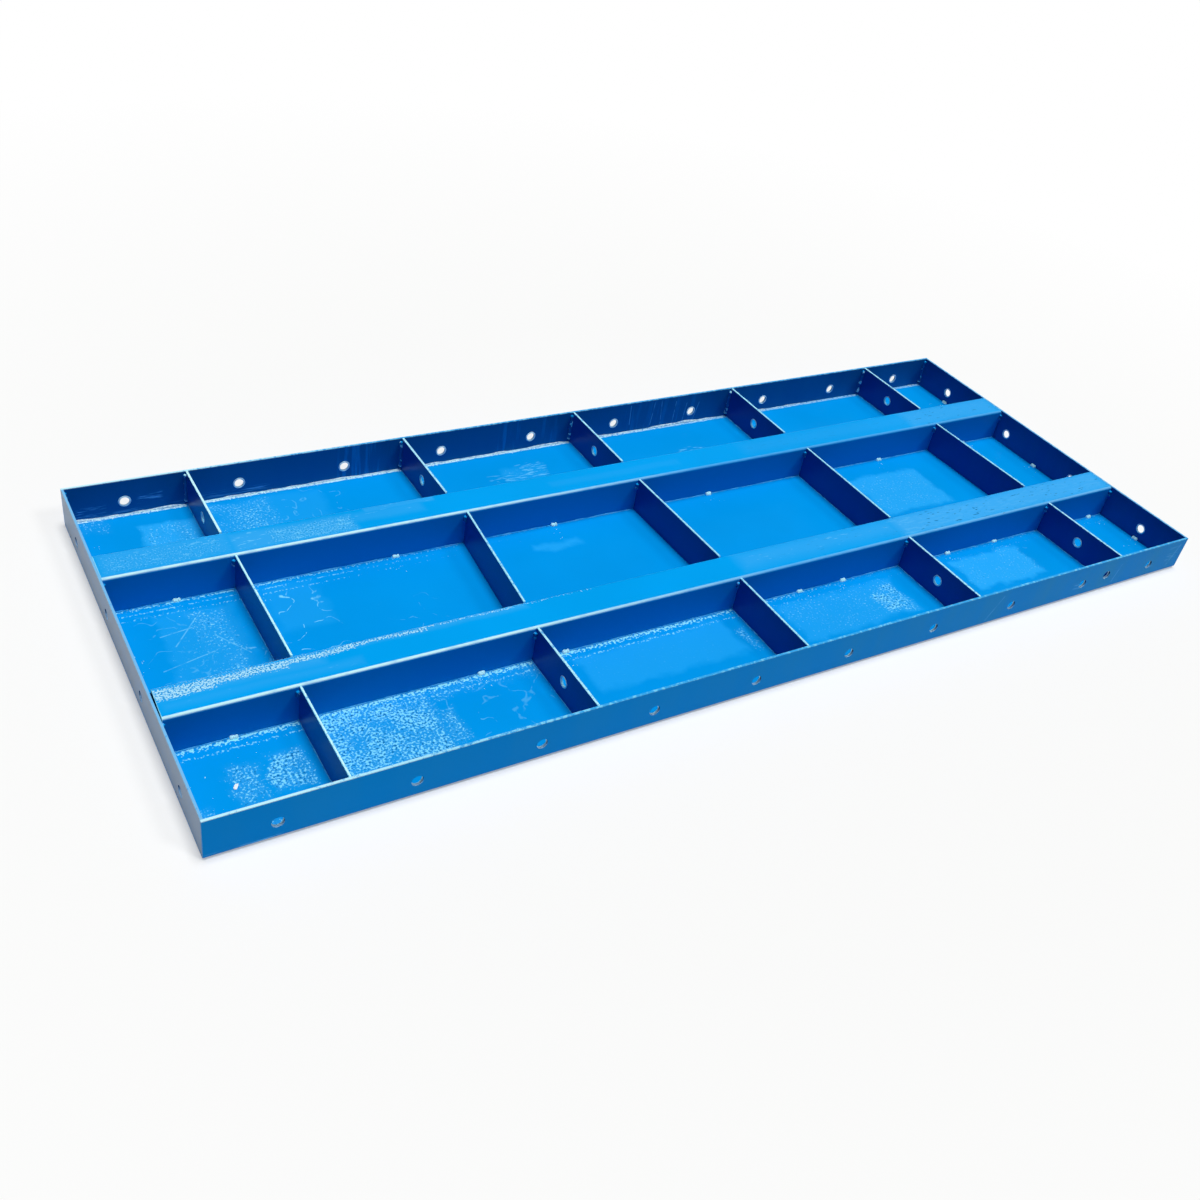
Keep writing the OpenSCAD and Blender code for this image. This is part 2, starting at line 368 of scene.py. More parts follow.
def wobble(finish, size, reach):
    """The place on the object, pushed about by a noise, so that straight edges go ragged."""
    made = finish.tree.nodes.new("ShaderNodeTexNoise")
    finish.plug(made.inputs["Vector"], finish.here)
    finish.plug(made.inputs["Scale"], 1.0 / size)
    finish.plug(made.inputs["Detail"], 4.0)
    push = finish.vector("SUBTRACT", made.outputs["Color"], (0.5, 0.5, 0.5))
    push = finish.vector("MULTIPLY", push, (reach, reach, 0.0))
    return finish.vector("ADD", finish.here, push)

def grains(finish, amount, size=0.0029, most_grains=0.49):
    """Crisp grains, and the pits between them: both lie closer the nearer the amount is to 1."""
    cloud = finish.noise(size, 2.0, 0.55)
    shown = finish.ramp(amount, 0.02, 0.25)
    start = finish.ramp(amount, 0.0, 0.9, 0.68, most_grains)
    grain = finish.ramp(cloud, start, finish.math("ADD", start, 0.06))
    deepest = finish.ramp(amount, 0.0, 0.9, 0.28, most_grains - 0.05)
    pit = finish.ramp(cloud, deepest, finish.math("SUBTRACT", deepest, 0.06))
    return finish.math("MULTIPLY", grain, shown), finish.math("MULTIPLY", pit, shown)

# %% [markdown]
# ## Floors of the cells
# Paint on the face sheet, seen between the ribs, lies smooth and glossy where the spray could
# fall straight in. Along the feet of the ribs the spray bounced and dried before it landed, and
# left a powder. Grains of it come from one fine noise, cut off high for the grains and low for
# the pits between them, and a mask sets how close they lie. Thin wandering lines, where wet
# paint crept, are the middle level of a broad noise. The pale dotted lines right at the feet,
# fading to the right, are powder in part and a painted highlight in part.

# %% Creeping lines, and seams of powder and painted highlight
def crept_lines(finish, size, width):
    """Thin wandering lines, as where paint crept and dried: 1 on a line and 0 beside it."""
    made = finish.noise(size, 1.5, 0.45, where=wobble(finish, 0.010, 0.004))
    away = finish.math("ABSOLUTE", finish.math("SUBTRACT", made, 0.5))
    return finish.ramp(away, width, 0.3 * width)

def seam_of_powder_and_highlight(finish, colour, seam_y, reach, strength, fade, tone, core=0.0):
    """Lays a dotted pale line on a colour, powder in part and painted highlight in part: at
    seam_y, on the side of lower Y, as far as reach. It fades along X, and it is closest at the
    seam, where its core is unbroken."""
    place = finish.coordinates(wobble(finish, 0.012, 0.003))
    gap = finish.math("SUBTRACT", seam_y, place[1])
    near_seam = finish.ramp(gap, reach, 0.0)
    near_seam = finish.math("MULTIPLY", near_seam, finish.ramp(gap, -0.003, 0.0))
    along = finish.ramp(place[0], fade[0], fade[1], strength, fade[2])
    grain = grains(finish, finish.math("MULTIPLY", near_seam, along), 0.0032, 0.42)[0]
    line = finish.math("MULTIPLY", grain, along)
    if core:
        rough_gap = finish.math("ABSOLUTE", finish.math("SUBTRACT", gap, 0.4 * core))
        solid = finish.ramp(rough_gap, core, 0.6 * core, 0.0, 0.95)
        torn = finish.ramp(finish.noise(0.0040, 2.0), 0.38, 0.50, 0.15, 1.0)
        solid = finish.math("MULTIPLY", solid, torn)
        line = finish.math("MAXIMUM", line, finish.math("MULTIPLY", solid, along))
    return finish.mix(line, colour, tone)

# %% Floor finish
def powdered(finish, colour, patches, ragged):
    """A dry mist on a colour, and its mask and grains. Thick mist also veils the enamel."""
    mist = patches_of(finish, ragged, patches)
    cloudy = finish.ramp(finish.noise(0.030, 3.0), 0.30, 0.60, 0.45, 1.0)
    mist = finish.math("MULTIPLY", mist, cloudy)
    grain, pit = grains(finish, mist)
    veil = finish.math("MULTIPLY", finish.math("POWER", mist, 2.0), 0.40)
    colour = finish.mix(veil, colour, MIST)
    powder_share = finish.math("MULTIPLY", grain, finish.ramp(mist, 0.0, 0.7, 0.30, 0.90))
    colour = finish.mix(powder_share, colour, POWDER)
    pit_share = finish.math("MULTIPLY", pit, finish.ramp(mist, 0.0, 0.8, 0.20, 0.90))
    colour = finish.mix(pit_share, colour, PIT)
    return colour, mist, grain

def floor_enamel(name, hazes, patches, seams, fade, tone, creeps=(), core=0.0, ripples=(), scored=()):
    """Enamel of a row of floors. Hazes and patches are smooth and powdery mist. Seams are lines
    of powder and painted highlight in a tone, each at a Y, with a reach and a strength, which
    fade along X. Creeps and ripples are where paint crept or ran, and scored is a list of
    scratches."""
    finish = Finish(name)
    colour, peel = base_coat(finish, full=FLOOR_ENAMEL)
    ragged = wobble(finish, 0.03, 0.030)
    colour = finish.mix(patches_of(finish, ragged, hazes), colour, HAZE)
    colour, mist, grain = powdered(finish, colour, patches, ragged)
    if creeps:
        lines = crept_lines(finish, 0.045, 0.0085)
        lines = finish.math("MULTIPLY", lines, finish.ramp(finish.noise(0.009, 3.0), 0.46, 0.54))
        zones = patches_of(finish, ragged, creeps)
        colour = finish.mix(finish.math("MULTIPLY", lines, zones), colour, POWDER)
    if ripples:
        waves = finish.ramp(finish.noise(0.0034, 2.0, 0.5, (5.0, 1.0, 1.0)), 0.54, 0.62)
        zones = patches_of(finish, ragged, ripples)
        colour = finish.mix(finish.math("MULTIPLY", waves, zones), colour, POWDER)
    if scored:
        flat = finish.vector("MULTIPLY", finish.here, (1.0, 1.0, 0.0))
        scratches = strokes(finish, flat, scored, 0.0011)
        colour = finish.mix(finish.math("MULTIPLY", scratches, 0.42), colour, POWDER)
    # Each seam is a pale dotted line: powder in part, painted highlight in part.
    for seam_y, reach, strength in seams:
        colour = seam_of_powder_and_highlight(finish, colour, seam_y / 1000.0, reach / 1000.0, strength,
                                fade, tone, core)
    normal = finish.bump(peel, 0.00003)
    normal = finish.bump(grain, 0.00008, normal)
    return finish.close(colour, finish.ramp(mist, 0.0, 0.6, 0.30, 0.46), normal, 0.012, TINT)

# %% [markdown]
# ## Where the floors are marked
# Each patch below is a span of X and a span of Y in millimetres, how soft its edge is, and how
# strong it is. They go from left to right. The near row has most of the powder. Each row has a
# paint of its own, so its marks don't have to be told apart from those of the others.

# %% Near row
NEAR_PATCHES = [
    ((-745, -640), (-297, -276), 5, 0.70),
    ((-700, -662), (-266, -190), 6, 0.70),
    ((-656, -610), (-246, -188), 6, 0.95),
    ((-745, -724), (-297, -240), 6, 0.60),
    ((-585, -452), (-270, -152), 8, 0.98),
    ((-456, -430), (-250, -190), 6, 0.75),
    ((-450, -300), (-176, -150), 6, 0.45),
    ((-440, -330), (-264, -250), 5, 0.40),
    ((-250, -60), (-230, -165), 6, 0.12),
    ((-25, -8), (-232, -188), 4, 0.60),
    ((58, 262), (-240, -172), 6, 0.34),
    ((210, 262), (-238, -180), 7, 0.85),
    ((380, 530), (-236, -172), 6, 0.34),
]
NEAR_HAZE = [
    ((-252, -32), (-232, -166), 5, 0.42),
    ((60, 262), (-243, -168), 4, 0.44),
    ((385, 525), (-240, -170), 4, 0.85),
]
NEAR_CREEPS = [
    ((-470, -400), (-250, -170), 10, 0.30),
    ((-400, -300), (-250, -170), 10, 0.20),
    ((380, 540), (-180, -165), 5, 0.40),
]
floor_near = floor_enamel("near_floor_enamel", NEAR_HAZE, NEAR_PATCHES,
                          seams=[(-152, 10, 0.95), (-166, 4, 0.62)], fade=(-0.10, 0.25, 0.30),
                          tone=WORN_AND_HIGHLIGHT, creeps=NEAR_CREEPS)

# %% Middle row
MIDDLE_PATCHES = [
    ((-700, -606), (-40, 60), 9, 0.20),
    ((-662, -616), (-52, 70), 4, 0.55),
    ((-700, -690), (-60, 0), 6, 0.30),
    ((385, 520), (-35, 60), 9, 0.34),
]
MIDDLE_HAZE = [
    ((-700, -606), (-60, 75), 5, 0.32),
    ((-565, -500), (0, 90), 8, 0.30),
    ((-194, -122), (48, 62), 5, 0.60),
    ((383, 520), (-38, 62), 4, 0.72),
]
MIDDLE_CREEPS = [
    ((-720, -640), (-80, 80), 10, 0.20),
    ((-630, -600), (-80, 60), 8, 0.50),
    ((-585, -505), (-95, 92), 10, 0.85),
    ((-430, -370), (-60, 10), 10, 0.22),
]
MIDDLE_SCORES = [
    ((-688, 16), (-645, 70)),
    ((-700, 38), (-662, 44)),
    ((-712, -22), (-650, -6)),
    ((-641, 22), (-612, -22)),
]
floor_middle = floor_enamel("middle_floor_enamel", MIDDLE_HAZE, MIDDLE_PATCHES,
                            seams=[(98, 5, 0.85), (88, 3, 0.60), (78, 3, 0.52)],
                            fade=(-0.55, -0.15, 0.12), tone=WORN_AND_HIGHLIGHT,
                            creeps=MIDDLE_CREEPS, scored=MIDDLE_SCORES)

# %% Far row
FAR_PATCHES = [
    ((-665, -598), (205, 258), 7, 0.50),
    ((-572, -490), (205, 282), 8, 0.60),
    ((-735, -700), (262, 292), 6, 0.45),
    ((-150, -92), (215, 250), 8, 0.20),
]
FAR_HAZE = [
    ((-668, -598), (203, 262), 4, 0.72),
    ((-575, -420), (203, 282), 6, 0.30),
    ((-150, -82), (190, 252), 5, 0.30),
]
FAR_CREEPS = [((-560, -380), (215, 285), 10, 0.25)]
FAR_RIPPLES = [
    ((-118, -80), (205, 258), 4, 0.45),
    ((-174, -100), (182, 238), 5, 0.32),
    ((155, 200), (190, 224), 4, 0.40),
]
floor_far = floor_enamel("far_floor_enamel", FAR_HAZE, FAR_PATCHES,
                         seams=[(297, 8, 1.0)], fade=(-0.20, 0.65, 0.45), tone=BRIGHT,
                         creeps=FAR_CREEPS, core=0.0040, ripples=FAR_RIPPLES)

# %% [markdown]
# ## Upright plates
# Flanges, cross ribs and end plates stand upright, and their darker colours are painted shade.
# Bands on them, more of them to the right, are dust in part and painted reflection in part.
# Thick paint slid down in runs and drips, and things that were dragged past left scratches. The
# top edges carry the next panel of a stack, so they are rubbed pale, and a painted highlight
# lies on them too: all along at the left and in dots further right. Each of these is a mask
# from noise, stretched along the way the mark runs.

# %% Dust and painted reflection, grime, and the pale top
def dust_and_reflection_bands(finish, colour, dust_and_reflection):
    """Bands of dust and painted reflection on a colour, along upright faces, and more of them
    towards the right.
    """
    steepness = finish.ramp(finish.math("ABSOLUTE", finish.facing()[2]), 0.5, 0.2)
    bands = finish.ramp(finish.noise(0.060, 4.0, 0.55, (1.0, 1.0, 7.0)), 0.40, 0.62)
    more = finish.ramp(finish.coordinates()[0], -0.20, 0.70, 0.25, 1.0)
    film = finish.math("MULTIPLY", finish.math("MULTIPLY", bands, more), steepness)
    # The bands are dust in part and painted reflection in part.
    return finish.mix(finish.math("MULTIPLY", film, dust_and_reflection), colour, DUST_AND_REFLECTION)

def grimy(finish, colour, grime):
    """A film of grime on the outer face of the left end, and a thinner one on the right."""
    across = finish.coordinates()[0]
    left_end = finish.ramp(across, low.x + 0.0006, low.x + 0.0002, 0.0, grime)
    right_end = finish.ramp(across, high.x - 0.0006, high.x - 0.0002, 0.0, 0.4 * grime)
    outward = finish.math("MAXIMUM", left_end, right_end)
    # Outward faces of the end plates take the lighter painted shade of the other upright faces.
    colour = finish.mix(finish.ramp(outward, 0.0, 0.2), colour, ENAMEL_UPRIGHT_SHADE)
    film = finish.ramp(finish.noise(0.05, 4.0, 0.6, (1.0, 1.0, 0.4)), 0.25, 0.60, 0.65, 1.0)
    return finish.mix(finish.math("MULTIPLY", outward, film), colour, GRIME)

def rubbed_and_highlit_top(finish, top_paleness, broken):
    """Two masks: where the top edge is pale, rubbed in part and painted highlight in part, and
    how far to the left a place lies.
    """
    place = finish.coordinates()
    left = finish.ramp(place[0], -0.66, -0.30, 1.0, 1.0 - broken)
    start = finish.ramp(left, 0.0, 1.0, 0.52, 0.26)
    rub_and_highlight = finish.noise(0.0060, 3.0, 0.6)
    rub_and_highlight = finish.ramp(rub_and_highlight, start, finish.math("ADD", start, 0.14), 0.2, 1.0)
    rub_and_highlight = finish.math("MULTIPLY", rub_and_highlight, finish.ramp(left, 0.0, 1.0, 0.5, top_paleness))
    top = finish.ramp(place[2], high.z - 0.0014, high.z - 0.0005)
    return finish.math("MULTIPLY", top, rub_and_highlight), left

# %% Plate finish
FAR_SIDE = (200, 400)

def plate_enamel(name, shade_colour, top_paleness=1.0, specular=0.2, broken=0.0, dust_and_reflection=0.0, grime=0.0,
                 runs=(), drips=(), scratches=(), behind=()):
    """Enamel of an upright plate. Its upright faces take the second argument as their colour,
    which is painted shade. The third says how pale its top is, rubbed in part and painted
    highlight in part, and broken how far that falls apart into dots. Then come two films: bands
    of dust and painted reflection, and grime. Runs are spans of X on the far side, drips are
    lines in X and Z, and scratches are patches in X and Z, those of behind on the far side alone."""
    finish = Finish(name)
    colour, peel = base_coat(finish, shade_colour)
    place = finish.coordinates()
    normal = finish.bump(peel, 0.00004)
    colour = dust_and_reflection_bands(finish, colour, dust_and_reflection)
    if runs:
        streak = finish.ramp(finish.noise(0.0075, 3.0, 0.6, (1.0, 1.0, 14.0)), 0.50, 0.62)
        spans = [(span, FAR_SIDE, 8, strength) for span, strength in runs]
        streak = finish.math("MULTIPLY", streak, patches_of(finish, wobble(finish, 0.02, 0.02), spans))
        colour = finish.mix(streak, colour, ENAMEL_UPRIGHT_SHADE)
        normal = finish.bump(streak, 0.0003, normal)
    upright = finish.node("ShaderNodeCombineXYZ", place[0], place[2], 0.0)
    if drips:
        lines = strokes(finish, upright, drips, 0.0012)
        colour = finish.mix(finish.math("MULTIPLY", lines, 0.5), colour, MIST)
    if scratches:
        lines = finish.ramp(finish.noise(0.0022, 3.0, 0.6, (20.0, 1.0, 1.0)), 0.52, 0.62)
        zones = patches_of(finish, upright, scratches)
        if behind:
            hidden = patches_of(finish, upright, behind)
            hidden = finish.math("MULTIPLY", hidden, finish.ramp(place[1], 0.0, 0.1))
            zones = finish.math("MAXIMUM", zones, hidden)
        colour = finish.mix(finish.math("MULTIPLY", lines, zones), colour, MIST)
    if grime:
        colour = grimy(finish, colour, grime)
    top, left = rubbed_and_highlit_top(finish, top_paleness, broken)
    # The top edge is mixed pale, whiter at the left: wear in part, painted highlight in part.
    colour = finish.mix(top, colour, finish.mix(left, WORN_AND_HIGHLIGHT, BRIGHT))
    return finish.close(colour, finish.ramp(top, 0.0, 1.0, 0.30, 0.42), normal, specular, TINT)

# %% Paints of the plates
# The two colours below are painted shade for the upright faces of the flanges and the end plates.
FLANGE_SHADE = (0.0003, 0.232, 0.680, 1.0)
END_PLATE_SHADE = (0.0003, 0.095, 0.370, 1.0)

flange_paint = plate_enamel(
    "flange_enamel", FLANGE_SHADE, top_paleness=0.85, specular=0.02, broken=0.9, dust_and_reflection=0.45,
    drips=[((724, 12), (738, 46)), ((330, 8), (352, 44)), ((596, 10), (604, 40))],
    scratches=[((-748, -670), (3, 6), 1, 0.9), ((508, 522), (16, 26), 3, 0.55),
               ((716, 738), (14, 44), 3, 0.50)],
    behind=[((-430, -250), (24, 38), 4, 0.50), ((90, 150), (6, 20), 3, 0.60),
            ((380, 560), (40, 50), 3, 0.50), ((-700, -640), (10, 30), 4, 0.45)])
# The inner side of the far flange takes a darker painted shade.
far_flange_paint = plate_enamel(
    "far_flange_enamel", ENAMEL_SHADED, top_paleness=0.9, broken=0.5, dust_and_reflection=0.12,
    runs=[((-385, -310), 0.70), ((-130, -95), 0.55), ((-60, -30), 0.45), ((90, 240), 0.35)],
    drips=[((104, 50), (106, 16)), ((150, 50), (147, 10)), ((163, 51), (167, 8)),
           ((192, 46), (191, 5)), ((214, 40), (211, 6)), ((239, 38), (232, 6))],
    scratches=[((-735, -700), (6, 22), 3, 0.9), ((-745, -600), (5, 9), 2, 0.7),
               ((-658, -628), (16, 30), 3, 0.9), ((-580, -480), (7, 14), 3, 0.6)])
# The cross ribs are upright all over and take the deepest painted shade.
cross_rib_paint = plate_enamel("cross_rib_enamel", CROSS_RIB_SHADE, broken=0.3, dust_and_reflection=0.08)
end_plate_paint = plate_enamel("end_plate_enamel", END_PLATE_SHADE, top_paleness=0.28, specular=0.12,
                               broken=0.5, dust_and_reflection=0.12, grime=0.80)

# %% [markdown]
# ## Rubbed and highlit edges, and shaded hole walls
# The eased edges of each plate get a paint of their own, because they stand out and so are
# rubbed first. It is the clean enamel with a pale tone mixed in by a broad noise, rubbed paint
# in part and a painted highlight in part. The walls of the punched holes are painted shade:
# dark at the top, and pale on their lower half, which faces up, as a painted light.

# %% Edge finish
def edge_enamel(name, least, most_worn, pale_tone=WORN_AND_HIGHLIGHT, size=0.012, specular=0.5):
    """Enamel made pale along an eased edge, rubbed in part and painted highlight in part, more in
    some places than in others.
    """
    finish = Finish(name)
    colour, peel = base_coat(finish)
    rub_and_highlight = finish.ramp(finish.noise(size, 4.0, 0.65), 0.30, 0.60, least, most_worn)
    colour = finish.mix(rub_and_highlight, colour, pale_tone)
    normal = finish.bump(peel, 0.00003)
    return finish.close(colour, finish.ramp(rub_and_highlight, 0.0, 1.0, 0.26, 0.36), normal, specular, TINT)

# Eased edges take a pale tone: rubbed paint in part, painted highlight in part.
edge_paint = edge_enamel("rubbed_and_highlit_edge_enamel", 0.5, 1.0)
end_edge_paint = edge_enamel("end_edge_enamel", 0.0, 0.22, specular=0.08)

# %% Walls of the punched holes
# Hole walls are painted shade, mottled by a noise, and pale where they face up: painted light.
HOLE_SHADE = (0.006, 0.030, 0.085, 1.0)
HOLE_SHADE_MOTTLE = (0.004, 0.060, 0.180, 1.0)
LIT_WALL_PALE = (0.36, 0.60, 0.88, 1.0)

hole_finish = Finish("hole_wall")
mottle = hole_finish.ramp(hole_finish.noise(0.004, 3.0), 0.35, 0.65)
wall_colour = hole_finish.mix(mottle, HOLE_SHADE, HOLE_SHADE_MOTTLE)
lit_below = hole_finish.ramp(hole_finish.facing()[2], -0.10, 0.60)
wall_colour = hole_finish.mix(lit_below, wall_colour, LIT_WALL_PALE)
hole_paint = hole_finish.close(wall_colour, 0.5, hole_finish.bump(hole_finish.noise(0.0015), 0.0001), 0.04, TINT)

# %% [markdown]
# ## Long ribs
# The broad top of a long rib is the brightest blue of all. It also
# carries the stack, and panels are slid along it, so its marks are streaks along X: a noise
# that is stretched that way. Where cement stuck to it, chalky grains are left. The two bends
# stand a little proud of the flat, and carry thin pale lines that fade to the right: painted
# highlights.

# %% Long rib finish
def streaked(finish, colour, streaks, level):
    """Streaks along the top on a colour, with the mask of their zones and of their lines."""
    across = finish.coordinates()[0]
    zones = finish.math("MULTIPLY", streaks, level)
    start = finish.ramp(zones, 0.0, 1.0, 0.72, 0.48)
    lines = finish.noise(0.0040, 3.0, 0.6, (4.0, 1.0, 1.0))
    lines = finish.ramp(lines, start, finish.math("ADD", start, 0.08))
    lines = finish.math("MULTIPLY", lines, finish.ramp(zones, 0.0, 0.3))
    colour = finish.mix(finish.math("MULTIPLY", zones, 0.52), colour, MIST)
    pale_lines = finish.math("MULTIPLY", lines, finish.ramp(zones, 0.0, 0.8, 0.1, 0.60))
    pale_lines = finish.math("MULTIPLY", pale_lines, finish.ramp(across, 0.15, 0.35, 1.0, 0.12))
    colour = finish.mix(pale_lines, colour, POWDER)
    dashes = finish.ramp(finish.noise(0.0030, 2.0, 0.6, (5.0, 1.0, 1.0)), 0.36, 0.31)
    right_zones = finish.math("MULTIPLY", zones, finish.ramp(across, 0.0, 0.3))
    colour = finish.mix(finish.math("MULTIPLY", dashes, right_zones), colour, PIT)
    return colour, zones, lines

def with_bend_highlights(finish, colour, bends):
    """Painted highlights along the bends, as pale lines. Each bend is a Y, a width, the X up to
    which it is full, the X where it has faded, and the least that is left of it there."""
    place = finish.coordinates()
    broken = finish.ramp(finish.noise(0.02, 3.0), 0.3, 0.5, 0.75, 1.0)
    upper = finish.ramp(place[2], high.z - 0.0040, high.z - 0.0018)
    for bend_y, width, full_x, faded_x, least in bends:
        bend = finish.math("ABSOLUTE", finish.math("SUBTRACT", place[1], bend_y))
        bend = finish.math("MULTIPLY", finish.ramp(bend, width, 0.45 * width), upper)
        fading = finish.ramp(place[0], full_x, faded_x, 1.0, least)
        fading = finish.math("MULTIPLY", fading, broken)
        # Each bend gets a pale line that fades to the right: a painted highlight.
        colour = finish.mix(finish.math("MULTIPLY", bend, fading), colour, BRIGHT)
    return colour

def rib_enamel(name, streaks, chalked, bends, chalk=CHALK, chalk_share=0.9, soot=SOOT):
    """Enamel of a long rib, with patches of streaks, patches of chalk, and rubbed bends."""
    finish = Finish(name)
    colour, peel = base_coat(finish, full=RIB_ENAMEL)
    level = finish.ramp(finish.facing()[2], 0.5, 0.9)
    ragged = wobble(finish, 0.05, 0.010)
    streak_mask = patches_of(finish, ragged, streaks)
    colour, zones, lines = streaked(finish, colour, streak_mask, level)
    normal = finish.bump(peel, 0.00003)
    normal = finish.bump(lines, 0.00008, normal)
    scuffs = finish.math("MULTIPLY", patches_of(finish, ragged, chalked), level)
    grain, pit = grains(finish, scuffs, 0.0022, 0.46)
    colour = finish.mix(finish.math("MULTIPLY", grain, chalk_share), colour, chalk)
    colour = finish.mix(finish.math("MULTIPLY", pit, 0.8), colour, soot)
    normal = finish.bump(grain, 0.00010, normal)
    colour = with_bend_highlights(finish, colour, bends)
    return finish.close(colour, finish.ramp(zones, 0.0, 0.6, 0.28, 0.44), normal, 0.012, TINT)

# %% Near long rib
NEAR_STREAKS = [
    ((-748, -560), (-126, -101), 6, 0.40),
    ((-560, -300), (-110, -100), 5, 0.50),
    ((-700, -300), (-103, -101), 1, 0.95),
    ((-740, -520), (-140, -128), 5, 0.25),
    ((20, 300), (-136, -104), 12, 0.45),
    ((300, 745), (-150, -100), 12, 0.88),
]
NEAR_CHALK = [
    ((-746, -680), (-124, -105), 3, 0.95),
    ((-690, -600), (-119, -106), 3, 1.00),
    ((-610, -520), (-114, -105), 2, 0.95),
    ((-530, -430), (-110, -104), 2, 0.85),
    ((-440, -320), (-106, -103), 1, 0.70),
    ((-330, -200), (-105, -102), 1, 0.45),
]
NEAR_BENDS = [(-0.1481, 0.0018, -0.36, 0.06, 0.20), (-0.1012, 0.0012, -0.60, -0.25, 0.0)]
near_rib_paint = rib_enamel("near_rib_enamel", NEAR_STREAKS, NEAR_CHALK, NEAR_BENDS)

# %% Far long rib
FAR_STREAKS = [
    ((-745, -590), (104, 150), 8, 0.44),
    ((-590, -430), (104, 140), 6, 0.58),
    ((-430, -330), (120, 140), 5, 0.30),
    ((-410, -310), (137, 149), 2, 0.42),
    ((-140, 80), (118, 131), 3, 0.12),
    ((200, 540), (112, 140), 9, 0.16),
    ((540, 745), (102, 148), 10, 0.62),
]
FAR_CHALK = [
    ((-740, -600), (106, 142), 7, 0.42),
    ((-540, -430), (106, 138), 5, 0.62),
]
FAR_BENDS = [(0.1019, 0.0018, -0.34, 0.10, 0.12), (0.1488, 0.0012, -0.60, -0.35, 0.0)]
far_rib_paint = rib_enamel("far_rib_enamel", FAR_STREAKS, FAR_CHALK, FAR_BENDS,
                           chalk=POWDER, chalk_share=0.50, soot=PIT)

# %% [markdown]
# ## Plates with broken edges
# A sheared plate that has been painted has no knife edge: its corners are eased and the paint
# rounds them more. Each plate is a copy of its CAD node. The copy's loose triangles are merged
# into whole faces first, and a Bevel modifier then rounds every sharp edge and gives the new
# faces the rubbed finish with its painted highlight, which is the second material of each plate.
# A bevel can lift a point by a few thousandths of a millimetre, so the points are held at the
# height of the panel.

# %% Copy a plate
def pick(piece):
    """Selects one object alone, and makes it the active one."""
    bpy.ops.object.select_all(action="DESELECT")
    piece.select_set(True)
    bpy.context.view_layer.objects.active = piece

def apply_modifiers(piece):
    """Applies all modifiers of an object, in order."""
    pick(piece)
    for modifier in list(piece.modifiers):
        bpy.ops.object.modifier_apply(modifier=modifier.name)

def copy_of(node, name, cuts=()):
    """A merged copy of a CAD node, cut across at some Y: its triangles become whole faces."""
    piece = bpy.data.objects.new(name, nodes[node].data.copy())
    scene.collection.objects.link(piece)
    pick(piece)
    bpy.ops.object.mode_set(mode="EDIT")
    bpy.ops.mesh.select_all(action="SELECT")
    bpy.ops.mesh.remove_doubles(threshold=0.00001)
    bpy.ops.mesh.dissolve_limited(angle_limit=math.radians(0.4))
    for cut in cuts:
        bpy.ops.mesh.select_all(action="SELECT")
        bpy.ops.mesh.bisect(plane_co=(0.0, cut, 0.0), plane_no=(0.0, 1.0, 0.0))
    bpy.ops.object.mode_set(mode="OBJECT")
    piece.data.materials.clear()
    return piece

# %% Ease the edges
EASED = 0.0007

def ease(piece):
    """Rounds the sharp edges, and keeps the flat faces flat."""
    bevel = piece.modifiers.new("eased", "BEVEL")
    bevel.width = EASED
    bevel.segments = 3
    bevel.limit_method = "ANGLE"
    bevel.angle_limit = math.radians(40)
    bevel.material = 1
    apply_modifiers(piece)
    for vertex in piece.data.vertices:
        vertex.co.z = min(vertex.co.z, high.z)
    bpy.ops.object.shade_smooth_by_angle(angle=math.radians(35))
    flatten = piece.modifiers.new("flat faces", "WEIGHTED_NORMAL")
    flatten.keep_sharp = True
    apply_modifiers(piece)

def place_plate(piece, node):
    """Puts a dressed plate in its CAD node's place."""
    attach(piece, "root")
    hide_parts(node)

# %% [markdown]
# ## Punched holes
# The walls of the holes get the third material of a plate. They are the faces at the height of
# the holes that don't face along the hole. The middle of each hole is then the middle of a
# group of such small faces that lie close together, and the lips are placed there later on.

# %% Find the holes
HOLES_FROM = 0.015
HOLES_TO = 0.038
HOLE_RADIUS = 0.0069

def darken_holes(piece, axis):
    """Gives the walls of the holes that run along an axis the third finish of a plate."""
    for face in piece.data.polygons:
        if abs(face.normal[axis]) < 0.3 and HOLES_FROM < face.center.z < HOLES_TO:
            face.material_index = 2

def holes_in(piece):
    """The middle of each hole, from the small faces of its wall."""
    groups = []
    for face in piece.data.polygons:
        if face.material_index == 2 and face.area < 0.00003:
            near = [group for group in groups if (group[0] - face.center).length < 0.018]
            if near:
                near[0].append(face.center.copy())
            else:
                groups.append([face.center.copy()])
    return [sum(group, Vector()) / len(group) for group in groups if len(group) > 8]

lip_places = []

# %% [markdown]
# ## Cross ribs, long ribs and end plates
# All of them are finished in the same way: copied, painted, eased, and put in the place of
# their CAD node, and all but the long ribs are searched for holes first. Their holes run along
# X. A lip lies on the inner side of an end plate, and on the left side of a cross rib.

# %% Cross ribs, long ribs and end plates
FINISH_OF = {"near_long_rib": near_rib_paint, "far_long_rib": far_rib_paint,
             "left_end_plate": end_plate_paint, "right_end_plate": end_plate_paint}
plates = {}
for name in nodes:
    if name != "face_pan" and not name.endswith("_welds"):
        plate = copy_of(name, name + "_painted")
        plate.data.materials.append(FINISH_OF.get(name, cross_rib_paint))
        plate.data.materials.append(end_edge_paint if "end_plate" in name else edge_paint)
        plate.data.materials.append(hole_paint if "end_plate" in name else edge_paint)
        if "long_rib" not in name:
            darken_holes(plate, 0)
            side = 1.0 if "left" in name else -1.0
            lip_places += [(spot, 0, side) for spot in holes_in(plate)]
        ease(plate)
        place_plate(plate, name)
        plates[name] = plate
print("Eased plates:", len(plates))

